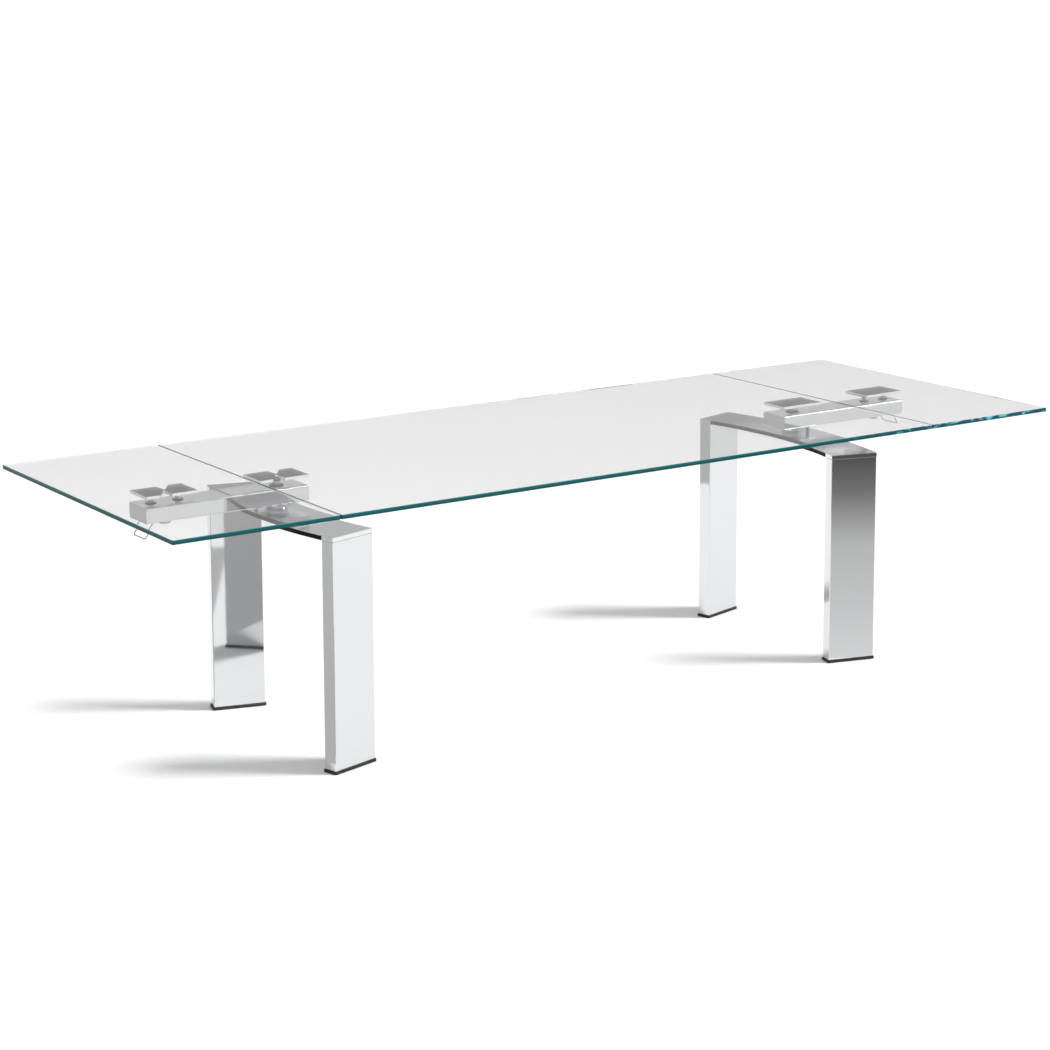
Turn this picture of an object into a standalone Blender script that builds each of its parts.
"""Extendable dining table: a glass top on two leg frames, with a glass leaf on a swivel arm at each end.

Units are metres, +Z is up, and the origin is on the floor under the middle of the table.
X runs along the table. Every end piece is modelled for the +X end, and the -X end is the same
piece turned half a turn about Z.
"""

import math

import bmesh
import bpy
from mathutils import Matrix, Vector

# Glass
TABLE_HEIGHT = 0.750
TABLE_WIDTH = 1.060
MAIN_LENGTH = 2.029
LEAF_LENGTH = 0.472
LEAF_GAP = 0.003
GLASS = 0.012
GLASS_ARRIS = 0.0010
GLASS_CORNER = 0.0025

# Leg frames
ARM_CLEARANCE = 0.019       # between the top of the frame and the arm above it
BAR_THICKNESS = 0.0125
BAR_WIDTH = 0.150
BAR_LAP = 0.030
OUTER_RADIUS = 1.378        # outer edge of the curved crossbar, in plan
BAR_OFFSET = 0.004          # crossbar centre line outside the pivot
LEG_SPREAD = 0.3613         # from the centre line to the outer face of a leg
LEG_THICKNESS = 0.042
LEG_WALL = 0.003
LEG_CORNER = 0.0025
LEG_EDGE = 0.0004
LEG_PLATE_LENGTH = 0.148
FOOT_HEIGHT = 0.0085
FOOT_LIP = 0.0035
FOOT_SPIGOT = 0.020
FOOT_EDGE = 0.0012

# Swivel arm
PIVOT_INSET = 0.0985        # pivot axis inside the end of the main glass
ARM_HEIGHT = 0.0435
ARM_WIDTH = 0.104
ARM_WALL = 0.003
ARM_CORNER = 0.004
ARM_EDGE = 0.0005
ARM_INNER_OVERHANG = 0.073
ARM_OUTER_OVERHANG = 0.0775
CAP_THICKNESS = 0.004
CAP_EDGE = 0.0003
BLOCK_LENGTH = 0.080
BLOCK_CORNER = 0.002

# Pivot
PIN_EDGE = 0.001            # chamfer on the ends of pins, studs and cone heads
SPINDLE_RADIUS = 0.012
STUD_RADIUS = 0.008
STUD_REACH = 0.014
CONE_RADIUS = 0.020
CONE_HEIGHT = 0.008
POST_RADIUS = 0.030
POST_EDGE = 0.0008
WASHER_RADIUS = 0.028
WASHER_THICKNESS = 0.0024
BUSH_WALL = 0.0027
BUSH_LENGTH = 0.016
FLANGE_WIDTH = 0.005
FLANGE_THICKNESS = 0.002
NUT_FLATS = 0.024
NUT_HEIGHT = 0.010
INDEX_PIN_RADIUS = 0.006
INDEX_PIN_STEP = 0.002
INDEX_PIN_OFFSET = 0.064

# Bonding plates
PLATE_LENGTH = 0.150
PLATE_WIDTH = 0.101
PLATE_THICKNESS = 0.008
PLATE_EDGE = 0.0006
PLATE_CORNER = 0.0015
NECK = 0.009                # metal left between the two notches of a waisted plate
NOTCH_OPENING = 0.036

# Leaf lift
STOW_GAP = 0.002            # between the lowered leaf and the main glass above it
STEM_RADIUS = 0.007
STEM_SPACING = 0.080
STEM_CONE_RADIUS = 0.013
STEM_CONE_HEIGHT = 0.0053
LIFT_BLOCK_LENGTH = 0.112
LIFT_BLOCK_HEIGHT = 0.0077
HUB_RADIUS = 0.016
HUB_HEIGHT = 0.015
HUB_STUD_RADIUS = 0.005
HUB_EDGE = 0.0015

# Release bail
SHAFT_RADIUS = 0.0025
SHAFT_DROP = 0.0065         # below the lift block
CAM_RADIUS = 0.004
CAM_WIDTH = 0.014
CAM_OFFSET = 0.0012
WIRE_RADIUS = 0.0015
BAIL_WIDTH = 0.070
BAIL_NECK = 0.030
BAIL_LOOP = 0.038
BAIL_SPLAY = math.radians(36.0)
BAIL_TURN = math.radians(28.0)
BAIL_CORNER = 0.006
BAIL_LEAN = 0.0015
SLOT_WIDTH = 0.0045
SLOT_MARGIN = 0.003

# Clearances
SEAT = 0.0003               # between two pieces that rest on or touch each other
RUN = 0.0003                # round a shaft that turns or slides
LEAST_CORNER = 0.001
ROUND_SEGMENTS = 24
WIRE_SEGMENTS = 8
CAM_SEGMENTS = 12
BEND_STEPS = 3
CORNER_STEPS = 3
ARC_STEP = math.radians(1.5)

# Places worked out from the sizes above
MAIN_END = MAIN_LENGTH / 2
LEAF_INNER_END = MAIN_END + LEAF_GAP
LEAF_CENTRE = LEAF_INNER_END + LEAF_LENGTH / 2
PIVOT_X = MAIN_END - PIVOT_INSET
GLASS_UNDERSIDE = TABLE_HEIGHT - GLASS
PLATE_TOP = GLASS_UNDERSIDE - SEAT
PLATE_BOTTOM = PLATE_TOP - PLATE_THICKNESS
LIFT_TRAVEL = GLASS + STOW_GAP
STEM_TOP = PLATE_BOTTOM - SEAT
ARM_TOP = STEM_TOP - STEM_CONE_HEIGHT - LIFT_TRAVEL - FLANGE_THICKNESS - 2 * SEAT
ARM_BOTTOM = ARM_TOP - ARM_HEIGHT
BAR_TOP = ARM_BOTTOM - ARM_CLEARANCE
BAR_BOTTOM = BAR_TOP - BAR_THICKNESS
INNER_RADIUS = OUTER_RADIUS - BAR_WIDTH
ARC_CENTRE = PIVOT_X + BAR_OFFSET + BAR_WIDTH / 2 - OUTER_RADIUS
END_ANGLE = math.asin(LEG_SPREAD / OUTER_RADIUS)
MID_RADIUS = (OUTER_RADIUS + INNER_RADIUS) / 2
SEAM_ANGLE = END_ANGLE - LEG_PLATE_LENGTH / MID_RADIUS
LAP_ANGLE = SEAM_ANGLE - BAR_LAP / MID_RADIUS
ARM_START = PIVOT_X - ARM_INNER_OVERHANG
ARM_END = LEAF_CENTRE + ARM_OUTER_OVERHANG
BUSH_RADIUS = SPINDLE_RADIUS + RUN + BUSH_WALL
STEM_BUSH_RADIUS = STEM_RADIUS + RUN + BUSH_WALL
STEM_XS = (LEAF_CENTRE - STEM_SPACING / 2, LEAF_CENTRE + STEM_SPACING / 2)
STEM_BOTTOM = ARM_BOTTOM + ARM_WALL + SEAT + LIFT_TRAVEL
LIFT_BLOCK_BOTTOM = ARM_TOP - ARM_WALL - SEAT - LIFT_BLOCK_HEIGHT
SHAFT_X = STEM_XS[1] + STEM_RADIUS + RUN + CAM_RADIUS + CAM_OFFSET
SHAFT_Z = LIFT_BLOCK_BOTTOM - SHAFT_DROP

SIDES = {"left": math.pi, "right": 0.0}


def clear_scene():
    for item in list(bpy.data.objects):
        bpy.data.objects.remove(item, do_unlink=True)


def finish_material(name, colour, metallic, roughness, alpha=1.0):
    made = bpy.data.materials.new(name)
    made.use_nodes = True
    shader = made.node_tree.nodes["Principled BSDF"]
    shader.inputs["Base Color"].default_value = (*colour, 1.0)
    shader.inputs["Metallic"].default_value = metallic
    shader.inputs["Roughness"].default_value = roughness
    shader.inputs["Alpha"].default_value = alpha
    made.diffuse_color = (*colour, alpha)
    return made


def rounded_rectangle(width, depth, radius, steps=CORNER_STEPS):
    """Outline of a rectangle with arcs for corners, anticlockwise, centred on the origin."""
    points = []
    for quarter, (sx, sy) in enumerate(((1, 1), (-1, 1), (-1, -1), (1, -1))):
        cx = sx * (width / 2 - radius)
        cy = sy * (depth / 2 - radius)
        for step in range(steps + 1):
            angle = math.pi / 2 * (quarter + step / steps)
            points.append((cx + radius * math.cos(angle), cy + radius * math.sin(angle)))
    return points


def loops_of(bm, sections):
    return [[bm.verts.new(point) for point in section] for section in sections]


def bridge(bm, loops):
    for low, high in zip(loops, loops[1:]):
        count = len(low)
        for index in range(count):
            after = (index + 1) % count
            bm.faces.new((low[index], low[after], high[after], high[index]))


def stacked(sections, bores=None):
    """A solid through closed outlines, with a through hole where bores gives a second set."""
    bm = bmesh.new()
    outer = loops_of(bm, sections)
    bridge(bm, outer)
    if bores is None:
        bm.faces.new(outer[0])
        bm.faces.new(outer[-1])
        return bm
    inner = loops_of(bm, bores)
    bridge(bm, inner)
    for end in (0, -1):
        bridge(bm, [outer[end], inner[end]])
    return bm


def rectangle_levels(width, depth, radius, low, high, edge, steps=CORNER_STEPS):
    """Outlines of an upright rounded block whose top and bottom edges are chamfered by edge."""
    levels = ((low, 0.0), (high, 0.0))
    if edge:
        levels = ((low, edge), (low + edge, 0.0), (high - edge, 0.0), (high, edge))
    sections = []
    for height, inset in levels:
        corner = max(radius - inset, radius / 2)
        outline = rounded_rectangle(width - 2 * inset, depth - 2 * inset, corner, steps)
        sections.append([(x, y, height) for x, y in outline])
    return sections


def prism(outline, low, high):
    return stacked([[(x, y, height) for x, y in outline] for height in (low, high)])


def turned(profile, segments=ROUND_SEGMENTS):
    """A turned piece about Z from its profile of (radius, height), bottom to top; radius 0 closes an end."""
    bm = bmesh.new()
    rings = []
    for radius, height in profile:
        if radius == 0.0:
            rings.append([bm.verts.new((0.0, 0.0, height))])
            continue
        ring = []
        for step in range(segments):
            angle = 2 * math.pi * step / segments
            ring.append(bm.verts.new((radius * math.cos(angle), radius * math.sin(angle), height)))
        rings.append(ring)
    pairs = list(zip(rings, rings[1:]))
    if len(rings[0]) > 1 and len(rings[-1]) > 1:
        pairs.append((rings[-1], rings[0]))
    for low, high in pairs:
        for step in range(segments):
            after = (step + 1) % segments
            corners = [low[step % len(low)], low[after % len(low)]]
            corners += [high[after % len(high)], high[step % len(high)]]
            bm.faces.new(list(dict.fromkeys(corners)))
    return bm


def drill(radius, x, low, high, past=0.01):
    """A cutter for a round hole, turned half a facet so that no corner of it falls on the centre line."""
    cutter = turned([(0.0, low - past), (radius, low - past), (radius, high + past), (0.0, high + past)])
    half_facet = Matrix.Rotation(math.pi / ROUND_SEGMENTS, 4, "Z")
    return shifted(moved(cutter, half_facet), x=x)


def ring(bore, radius, low, high, edge=0.0004):
    return turned([(bore, low), (radius - edge, low), (radius, low + edge),
                   (radius, high - edge), (radius - edge, high), (bore, high)])


def arc_bar(spans):
    """A curved flat bar between the two radii; spans gives each layer's (low, high, start, end)."""
    marks = sorted({angle for span in spans for angle in span[2:]})
    angles = []
    for start, end in zip(marks, marks[1:]):
        steps = max(1, round((end - start) / ARC_STEP))
        angles += [start + (end - start) * step / steps for step in range(steps)]
    angles.append(marks[-1])
    heights = sorted({height for span in spans for height in span[:2]})

    def filled(column, layer):
        if not (0 <= column < len(angles) - 1 and 0 <= layer < len(heights) - 1):
            return False
        angle = (angles[column] + angles[column + 1]) / 2
        height = (heights[layer] + heights[layer + 1]) / 2
        return any(low < height < high and start < angle < end for low, high, start, end in spans)

    bm = bmesh.new()
    corners = {}

    def corner(column, layer, radius):
        key = (column, layer, radius)
        if key not in corners:
            x = ARC_CENTRE + radius * math.cos(angles[column])
            y = radius * math.sin(angles[column])
            corners[key] = bm.verts.new((x, y, heights[layer]))
        return corners[key]

    inner, outer = INNER_RADIUS, OUTER_RADIUS
    for column in range(len(angles) - 1):
        for layer in range(len(heights) - 1):
            if not filled(column, layer):
                continue
            for radius in (inner, outer):
                bm.faces.new([corner(column, layer, radius), corner(column + 1, layer, radius),
                              corner(column + 1, layer + 1, radius), corner(column, layer + 1, radius)])
            for beside, at in ((layer - 1, layer), (layer + 1, layer + 1)):
                if not filled(column, beside):
                    bm.faces.new([corner(column, at, inner), corner(column + 1, at, inner),
                                  corner(column + 1, at, outer), corner(column, at, outer)])
            for beside, at in ((column - 1, column), (column + 1, column + 1)):
                if not filled(beside, layer):
                    bm.faces.new([corner(at, layer, inner), corner(at, layer + 1, inner),
                                  corner(at, layer + 1, outer), corner(at, layer, outer)])
    return bm


def moved(bm, matrix):
    bmesh.ops.transform(bm, matrix=matrix, verts=bm.verts)
    return bm


def shifted(bm, x=0.0, y=0.0, z=0.0):
    return moved(bm, Matrix.Translation((x, y, z)))


def along_x(bm):
    """Lays a piece modelled along Z down along X, its own X going to Y and its own Y to Z."""
    return moved(bm, Matrix(((0, 0, 1, 0), (1, 0, 0, 0), (0, 1, 0, 0), (0, 0, 0, 1))))


class End:
    """One end of the table: turns each piece to its side, names it and hangs it on its body's empty."""

    def __init__(self, side):
        self.side = side
        self.turn = Matrix.Rotation(SIDES[side], 4, "Z")
        self.pivots = {}

    def pivot(self, body, x, z, parent=None):
        empty = bpy.data.objects.new(f"{self.side}_{body}_origin", None)
        bpy.context.collection.objects.link(empty)
        place = self.turn @ Vector((x, 0.0, z))
        empty.location = place
        if parent:
            empty.parent = self.pivots[parent][0]
            empty.location = place - self.pivots[parent][1]
        self.pivots[body] = (empty, place)

    def add(self, body, name, bm, material, smooth=35.0, bevel=0.0, cuts=()):
        full_name = f"{self.side}_{name}"
        moved(bm, self.turn)
        empty, place = self.pivots[body]
        shifted(bm, -place.x, -place.y, -place.z)
        piece = add_piece(full_name, bm, material, smooth)
        piece.parent = empty
        for number, cutter in enumerate(cuts):
            moved(cutter, self.turn)
            shifted(cutter, -place.x, -place.y, -place.z)
            tool = add_piece(f"{full_name}_cutter_{number}", cutter, material, smooth)
            tool.parent = empty
            tool.hide_render = True
            tool.display_type = "WIRE"
            cut = piece.modifiers.new(f"cut_{number}", "BOOLEAN")
            cut.operation = "DIFFERENCE"
            cut.solver = "EXACT"
            cut.object = tool
        if bevel:
            edge = piece.modifiers.new("edges", "BEVEL")
            edge.width = bevel
            edge.segments = 2
            edge.limit_method = "ANGLE"
            edge.angle_limit = math.radians(40)
        return piece


def add_piece(name, bm, material, smooth):
    bmesh.ops.recalc_face_normals(bm, faces=bm.faces)
    mesh = bpy.data.meshes.new(name)
    bm.to_mesh(mesh)
    bm.free()
    mesh.materials.append(material)
    mesh.shade_smooth()
    mesh.set_sharp_from_angle(angle=math.radians(smooth))
    piece = bpy.data.objects.new(name, mesh)
    bpy.context.collection.objects.link(piece)
    return piece


def glass_panel(length):
    return stacked(rectangle_levels(length, TABLE_WIDTH, GLASS_CORNER, GLASS_UNDERSIDE, TABLE_HEIGHT,
                                    GLASS_ARRIS))


def leg_frame_matrix(sign):
    """Places a leg's own frame: X radial, Y along the bar to the outer face; sign is the leg's side."""
    angle = sign * END_ANGLE
    radial = Vector((math.cos(angle), math.sin(angle), 0.0))
    outward = Vector((-math.sin(angle), math.cos(angle), 0.0)) * sign
    centre = Vector((ARC_CENTRE, 0.0, 0.0)) + radial * MID_RADIUS - outward * (LEG_THICKNESS / 2)
    side = radial if sign > 0 else -radial
    return Matrix((
        (side.x, outward.x, 0.0, centre.x),
        (side.y, outward.y, 0.0, centre.y),
        (0.0, 0.0, 1.0, 0.0),
        (0.0, 0.0, 0.0, 1.0),
    ))


def build_leg(end, name, sign, polished, steel, rubber):
    low = FOOT_HEIGHT + SEAT
    high = BAR_BOTTOM - SEAT
    bore_width = BAR_WIDTH - 2 * LEG_WALL
    bore_depth = LEG_THICKNESS - 2 * LEG_WALL
    outer = rectangle_levels(BAR_WIDTH, LEG_THICKNESS, LEG_CORNER, low, high, LEG_EDGE)
    inner = rectangle_levels(bore_width, bore_depth, LEG_CORNER / 2, low, high, 0.0)
    inner = [inner[0], *[[(x, y, outer[level][0][2]) for x, y, _ in inner[0]] for level in (1, 2)], inner[1]]
    placing = leg_frame_matrix(sign)
    end.add("frame", f"{name}_leg", moved(stacked(outer, inner), placing), polished)

    lower = rectangle_levels(BAR_WIDTH + 2 * FOOT_LIP, LEG_THICKNESS + 2 * FOOT_LIP, LEG_CORNER + FOOT_LIP,
                             0.0, FOOT_HEIGHT, FOOT_EDGE)
    spigot = rounded_rectangle(bore_width - 2 * SEAT, bore_depth - 2 * SEAT, LEG_CORNER / 2)
    for height in (FOOT_HEIGHT, FOOT_HEIGHT + FOOT_SPIGOT):
        lower.append([(x, y, height) for x, y in spigot])
    end.add("frame", f"{name}_foot", moved(stacked(lower), placing), rubber)

    middle = (BAR_TOP + BAR_BOTTOM) / 2
    angles = sorted((sign * SEAM_ANGLE, sign * END_ANGLE))
    lap_angles = sorted((sign * LAP_ANGLE, sign * END_ANGLE))
    plate = arc_bar([(middle, BAR_TOP, *angles), (BAR_BOTTOM, middle, *lap_angles)])
    end.add("frame", f"{name}_leg_plate", plate, steel, bevel=PLATE_EDGE)


def build_crossbar(end, steel):
    gap = SEAT / MID_RADIUS
    middle = (BAR_TOP + BAR_BOTTOM) / 2
    upper = SEAM_ANGLE - gap
    lower = LAP_ANGLE - gap
    bar = arc_bar([(middle + SEAT, BAR_TOP, -upper, upper), (BAR_BOTTOM, middle + SEAT, -lower, lower)])
    stud_hole = drill(STUD_RADIUS + RUN, PIVOT_X, BAR_BOTTOM, BAR_TOP)
    pin_bore = INDEX_PIN_RADIUS - INDEX_PIN_STEP + RUN
    pin_hole = drill(pin_bore, PIVOT_X + INDEX_PIN_OFFSET, BAR_BOTTOM, BAR_TOP)
    end.add("frame", "crossbar", bar, steel, cuts=(stud_hole, pin_hole))


def plate_outline(waisted):
    """Plan of a bonding plate about its centre, with or without the two skewed notches of its waist."""
    half_length = PLATE_LENGTH / 2
    half_width = PLATE_WIDTH / 2
    half_neck = NECK / 2
    if not waisted:
        return rounded_rectangle(PLATE_LENGTH, PLATE_WIDTH, PLATE_CORNER, steps=2)
    half = [(half_length, -half_width), (half_length, half_width), (NOTCH_OPENING, half_width),
            (half_neck, half_neck), (0.0, half_width)]
    return half + [(-x, -y) for x, y in half]


def build_bonding_plate(end, body, name, x, steel):
    outline = plate_outline(waisted=end.side == "left")
    plate = shifted(prism(outline, PLATE_BOTTOM, PLATE_TOP), x=x)
    end.add(body, name, plate, steel, bevel=PLATE_EDGE)


def hexagon_point(share, half_flats):
    """The point of a hexagon's outline at a share of a full turn."""
    angle = 2 * math.pi * share
    from_flat = (angle % (math.pi / 3)) - math.pi / 6
    radius = half_flats / math.cos(from_flat)
    return radius * math.cos(angle), radius * math.sin(angle)


def hexagon_nut(flats, bore, low, high, steps=ROUND_SEGMENTS):
    shares = [step / steps for step in range(steps)]
    outline = [hexagon_point(share, flats / 2) for share in shares]
    hole = [(bore * math.cos(2 * math.pi * share), bore * math.sin(2 * math.pi * share)) for share in shares]
    sections = [[(x, y, z) for x, y in outline] for z in (low, high)]
    bores = [[(x, y, z) for x, y in hole] for z in (low, high)]
    return stacked(sections, bores)


def build_pivot(end, polished, steel, nylon):
    post_low = BAR_TOP + SEAT
    post_high = ARM_BOTTOM - WASHER_THICKNESS - 2 * SEAT
    bore = SPINDLE_RADIUS + RUN
    post = ring(bore, POST_RADIUS, post_low, post_high, POST_EDGE)
    end.add("frame", "pivot_post", shifted(post, x=PIVOT_X), polished)

    top = PLATE_BOTTOM - SEAT
    stud_bottom = BAR_BOTTOM - STUD_REACH
    spindle = turned([
        (0.0, stud_bottom), (STUD_RADIUS - PIN_EDGE, stud_bottom), (STUD_RADIUS, stud_bottom + PIN_EDGE),
        (STUD_RADIUS, post_low), (SPINDLE_RADIUS, post_low), (SPINDLE_RADIUS, top - CONE_HEIGHT),
        (CONE_RADIUS, top - PIN_EDGE), (CONE_RADIUS, top), (0.0, top)])
    end.add("frame", "pivot_spindle", shifted(spindle, x=PIVOT_X), steel)

    nut = hexagon_nut(NUT_FLATS, STUD_RADIUS + RUN, BAR_BOTTOM - SEAT - NUT_HEIGHT, BAR_BOTTOM - SEAT)
    end.add("frame", "spindle_nut", shifted(nut, x=PIVOT_X), steel)

    shank = INDEX_PIN_RADIUS - INDEX_PIN_STEP
    pin_top = ARM_BOTTOM - SEAT
    pin = turned([(0.0, BAR_BOTTOM), (shank, BAR_BOTTOM), (shank, post_low),
                  (INDEX_PIN_RADIUS, post_low), (INDEX_PIN_RADIUS, pin_top - PIN_EDGE),
                  (INDEX_PIN_RADIUS - PIN_EDGE, pin_top), (0.0, pin_top)])
    end.add("frame", "index_pin", shifted(pin, x=PIVOT_X + INDEX_PIN_OFFSET), polished)

    washer = ring(bore, WASHER_RADIUS, post_high + SEAT, ARM_BOTTOM - SEAT)
    end.add("arm", "thrust_washer", shifted(washer, x=PIVOT_X), nylon)
    lower = ring(bore, bore + BUSH_WALL, ARM_BOTTOM, ARM_BOTTOM + BUSH_LENGTH)
    end.add("arm", "lower_bush", shifted(lower, x=PIVOT_X), nylon)
    end.add("arm", "upper_bush", shifted(flanged_bush(bore, BUSH_LENGTH), x=PIVOT_X), nylon)


def flanged_bush(bore, length):
    """A bush let into the top of the arm, with its flange on top."""
    low = ARM_TOP - length
    flange_low = ARM_TOP + SEAT
    flange_high = flange_low + FLANGE_THICKNESS
    sleeve = bore + BUSH_WALL
    rim = sleeve + FLANGE_WIDTH
    return turned([(bore, low), (sleeve, low), (sleeve, flange_low), (rim, flange_low),
                   (rim, flange_low + FLANGE_THICKNESS / 2), (rim - FLANGE_THICKNESS / 4, flange_high),
                   (bore, flange_high)])


def arm_section(inset, position):
    corner = max(ARM_CORNER - inset, LEAST_CORNER)
    outline = rounded_rectangle(ARM_WIDTH - 2 * inset, ARM_HEIGHT - 2 * inset, corner)
    return [(x, y, position) for x, y in outline]


def build_arm(end, polished, steel, aluminium, nylon):
    arm_middle = (ARM_TOP + ARM_BOTTOM) / 2
    positions = (ARM_START, ARM_START + ARM_EDGE, ARM_END - ARM_EDGE, ARM_END)
    outer = [arm_section(inset, at) for inset, at in zip((ARM_EDGE, 0.0, 0.0, ARM_EDGE), positions)]
    inner = [arm_section(ARM_WALL, at) for at in positions]
    tube = shifted(along_x(stacked(outer, inner)), z=arm_middle)
    half_room = ARM_HEIGHT / 4      # a cutter this long passes one wall and stays clear of the other
    cuts = [drill(BUSH_RADIUS + SEAT, PIVOT_X, ARM_BOTTOM, ARM_TOP)]
    cuts += [drill(STEM_BUSH_RADIUS + SEAT, x, ARM_TOP - half_room, ARM_TOP, half_room) for x in STEM_XS]
    cuts.append(drill(HUB_STUD_RADIUS + SEAT, LEAF_CENTRE, ARM_BOTTOM, ARM_BOTTOM + half_room, half_room))
    slot_start = SHAFT_X - (SHAFT_Z - ARM_BOTTOM) * math.tan(BAIL_TURN) - WIRE_RADIUS - SLOT_MARGIN
    slot_end = SHAFT_X + WIRE_RADIUS + SLOT_MARGIN
    for side in (-1, 1):
        outline = rounded_rectangle(slot_end - slot_start, SLOT_WIDTH, SLOT_WIDTH / 2 - SEAT)
        slot = prism(outline, ARM_BOTTOM - half_room, ARM_BOTTOM + half_room)
        cuts.append(shifted(slot, x=(slot_start + slot_end) / 2, y=side * BAIL_WIDTH / 2))
    end.add("arm", "arm_tube", tube, polished, cuts=cuts)

    room_width = ARM_WIDTH - 2 * ARM_WALL - 2 * SEAT
    room_height = ARM_HEIGHT - 2 * ARM_WALL - 2 * SEAT
    room_corner = max(ARM_CORNER - ARM_WALL, LEAST_CORNER)
    for name, start in (("arm_inner_cap", ARM_START), ("arm_outer_cap", ARM_END - CAP_THICKNESS)):
        levels = rectangle_levels(room_width, room_height, room_corner,
                                  start, start + CAP_THICKNESS, CAP_EDGE)
        end.add("arm", name, shifted(along_x(stacked(levels)), z=arm_middle), polished)

    block_width = room_width - 2 * room_corner
    block = prism(rounded_rectangle(BLOCK_LENGTH, block_width, BLOCK_CORNER), arm_middle - room_height / 2,
                  arm_middle + room_height / 2)
    bore = drill(BUSH_RADIUS + SEAT, PIVOT_X, ARM_BOTTOM, ARM_TOP)
    end.add("arm", "pivot_block", shifted(block, x=PIVOT_X), aluminium, cuts=(bore,))

    block = prism(rounded_rectangle(LIFT_BLOCK_LENGTH, block_width, BLOCK_CORNER), LIFT_BLOCK_BOTTOM,
                  LIFT_BLOCK_BOTTOM + LIFT_BLOCK_HEIGHT)
    bores = [drill(STEM_BUSH_RADIUS + SEAT, x, ARM_BOTTOM, ARM_TOP) for x in STEM_XS]
    end.add("arm", "lift_block", shifted(block, x=LEAF_CENTRE), aluminium, cuts=bores)

    bush_length = ARM_TOP - LIFT_BLOCK_BOTTOM
    for name, x in zip(("inner_stem_bush", "outer_stem_bush"), STEM_XS):
        end.add("arm", name, shifted(flanged_bush(STEM_RADIUS + RUN, bush_length), x=x), nylon)

    hub_top = ARM_BOTTOM - SEAT
    hub_low = hub_top - HUB_HEIGHT
    stud_top = LIFT_BLOCK_BOTTOM - SEAT
    hub = turned([(0.0, hub_low), (HUB_RADIUS - HUB_EDGE, hub_low), (HUB_RADIUS, hub_low + HUB_EDGE),
                  (HUB_RADIUS, hub_top - HUB_EDGE), (HUB_RADIUS - HUB_EDGE, hub_top),
                  (HUB_STUD_RADIUS, hub_top), (HUB_STUD_RADIUS, stud_top), (0.0, stud_top)])
    end.add("arm", "lift_hub", shifted(hub, x=LEAF_CENTRE), steel)


def build_leaf(end, glass, steel):
    end.add("leaf", "leaf_glass", shifted(glass_panel(LEAF_LENGTH), x=LEAF_CENTRE), glass)
    build_bonding_plate(end, "leaf", "leaf_plate", LEAF_CENTRE, steel)
    for name, x in zip(("inner_lift_stem", "outer_lift_stem"), STEM_XS):
        stem = turned([(0.0, STEM_BOTTOM), (STEM_RADIUS - PIN_EDGE, STEM_BOTTOM),
                       (STEM_RADIUS, STEM_BOTTOM + PIN_EDGE), (STEM_RADIUS, STEM_TOP - STEM_CONE_HEIGHT),
                       (STEM_CONE_RADIUS, STEM_TOP - PIN_EDGE), (STEM_CONE_RADIUS, STEM_TOP),
                       (0.0, STEM_TOP)])
        end.add("leaf", name, shifted(stem, x=x), steel)


def bail_route():
    """The bail's centre line from one leg's top, round the loop, to the other leg's top."""
    start = SHAFT_RADIUS + 2 * SEAT
    knee = Vector((SHAFT_X + BAIL_LEAN, 0.0, SHAFT_Z - BAIL_NECK))
    tip = knee + Vector((math.sin(BAIL_SPLAY), 0.0, -math.cos(BAIL_SPLAY))) * BAIL_LOOP
    half = BAIL_WIDTH / 2
    side = Vector((0.0, half, 0.0))
    top = Vector((SHAFT_X, 0.0, SHAFT_Z - start))
    corners = [top - side, knee - side, tip - side, tip + side, knee + side, top + side]
    route = [corners[0]]
    for before, corner, after in zip(corners, corners[1:], corners[2:]):
        arrive = (corner - before).normalized()
        leave = (after - corner).normalized()
        half_turn = arrive.angle(leave) / 2
        reach = BAIL_CORNER * math.tan(half_turn)
        inward = (leave - arrive).normalized() * (BAIL_CORNER / math.cos(half_turn))
        centre = corner + inward
        first = (corner - arrive * reach - centre).normalized()
        last = (corner + leave * reach - centre).normalized()
        for step in range(BEND_STEPS + 1):
            route.append(centre + first.slerp(last, step / BEND_STEPS) * BAIL_CORNER)
    return route + [corners[-1]]


def swept(route, radius, sides=WIRE_SEGMENTS):
    """A round wire along a route, its rings carried round the bends without a twist."""
    bm = bmesh.new()
    rings = []
    first = Vector((1.0, 0.0, 0.0))
    for index, point in enumerate(route):
        before = route[max(index - 1, 0)]
        after = route[min(index + 1, len(route) - 1)]
        along = (after - before).normalized()
        first = (first - along * first.dot(along)).normalized()
        second = along.cross(first)
        ring = []
        for step in range(sides):
            angle = 2 * math.pi * step / sides
            ring.append(bm.verts.new(point + (first * math.cos(angle) + second * math.sin(angle)) * radius))
        rings.append(ring)
    bridge(bm, rings)
    bm.faces.new(rings[0])
    bm.faces.new(rings[-1])
    return bm


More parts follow.
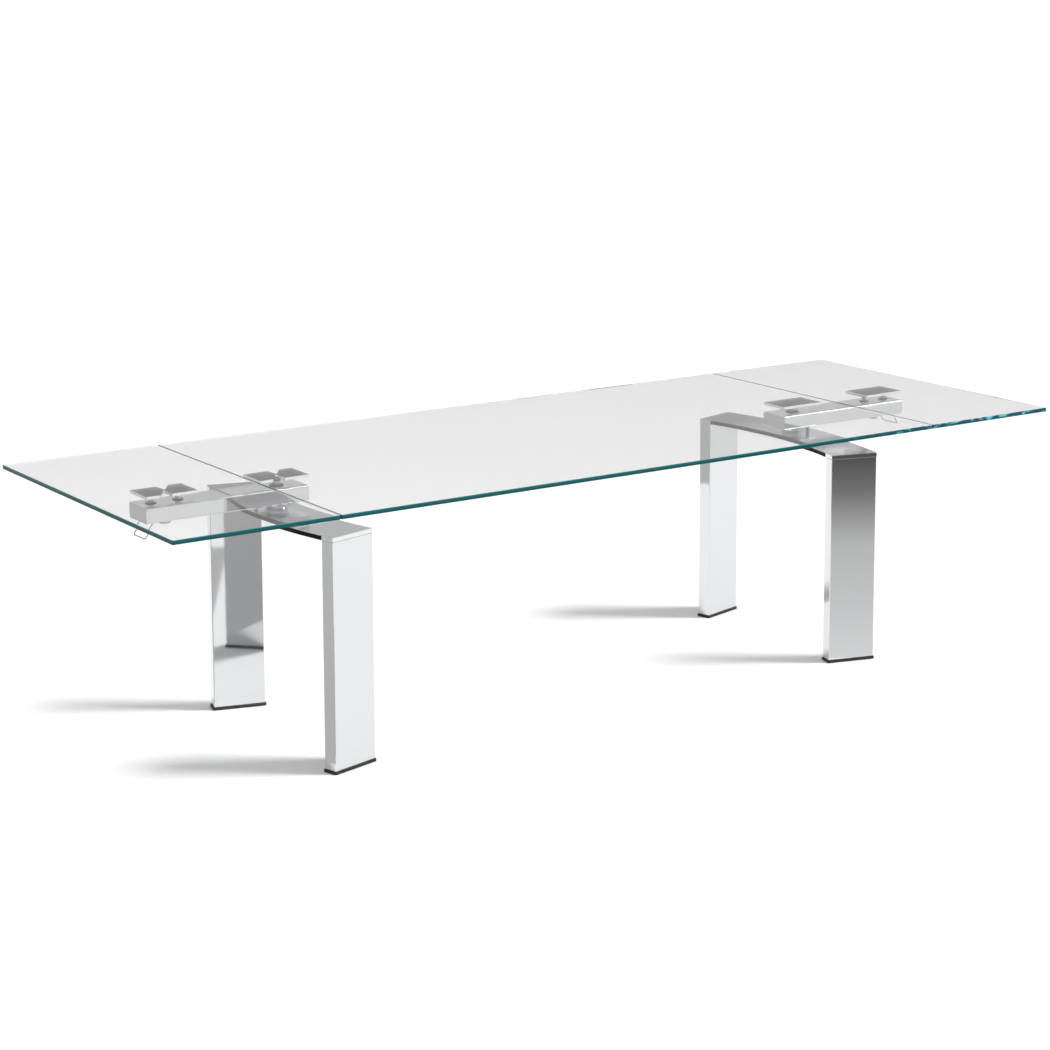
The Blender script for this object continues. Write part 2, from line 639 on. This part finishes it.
def build_bail(end, chrome, steel):
    end.add("bail", "bail_wire", swept(bail_route(), WIRE_RADIUS), chrome)
    reach = ARM_WIDTH / 2 - ARM_WALL - 3 * SEAT
    half_cam = CAM_WIDTH / 2
    bm = bmesh.new()
    rings = []
    for along, radius, offset in ((-reach, SHAFT_RADIUS, 0.0), (-half_cam, SHAFT_RADIUS, 0.0),
                                  (-half_cam, CAM_RADIUS, -CAM_OFFSET), (half_cam, CAM_RADIUS, -CAM_OFFSET),
                                  (half_cam, SHAFT_RADIUS, 0.0), (reach, SHAFT_RADIUS, 0.0)):
        ring = []
        for step in range(CAM_SEGMENTS):
            angle = 2 * math.pi * step / CAM_SEGMENTS
            x = SHAFT_X + offset + radius * math.cos(angle)
            ring.append(bm.verts.new((x, along, SHAFT_Z + radius * math.sin(angle))))
        rings.append(ring)
    bridge(bm, rings)
    bm.faces.new(rings[0])
    bm.faces.new(rings[-1])
    end.add("bail", "cam_shaft", bm, steel)


def build_end(side, materials):
    end = End(side)
    end.pivot("frame", 0.0, 0.0)
    end.pivot("arm", PIVOT_X, ARM_BOTTOM)
    end.pivot("leaf", LEAF_CENTRE, ARM_BOTTOM, parent="arm")
    end.pivot("bail", SHAFT_X, SHAFT_Z, parent="arm")
    steel, polished = materials["satin_steel"], materials["polished_chrome"]
    near, far = ("back", "front") if side == "right" else ("front", "back")
    for name, sign in ((near, 1), (far, -1)):
        build_leg(end, name, sign, polished, steel, materials["black_rubber"])
    build_crossbar(end, steel)
    build_pivot(end, polished, steel, materials["nylon"])
    build_bonding_plate(end, "frame", "top_plate", PIVOT_X, steel)
    build_arm(end, polished, steel, materials["aluminium"], materials["nylon"])
    build_leaf(end, materials["clear_glass"], steel)
    build_bail(end, polished, steel)


def build_table():
    clear_scene()
    materials = {
        "clear_glass": finish_material("clear_glass", (0.80, 0.93, 0.92), 0.0, 0.02, 0.35),
        "polished_chrome": finish_material("polished_chrome", (0.78, 0.79, 0.80), 1.0, 0.06),
        "satin_steel": finish_material("satin_steel", (0.62, 0.63, 0.64), 1.0, 0.25),
        "aluminium": finish_material("aluminium", (0.66, 0.67, 0.68), 1.0, 0.40),
        "nylon": finish_material("nylon", (0.05, 0.05, 0.05), 0.0, 0.45),
        "black_rubber": finish_material("black_rubber", (0.02, 0.02, 0.02), 0.0, 0.60),
    }
    add_piece("main_glass", glass_panel(MAIN_LENGTH), materials["clear_glass"], 35.0)
    for side in SIDES:
        build_end(side, materials)


build_table()
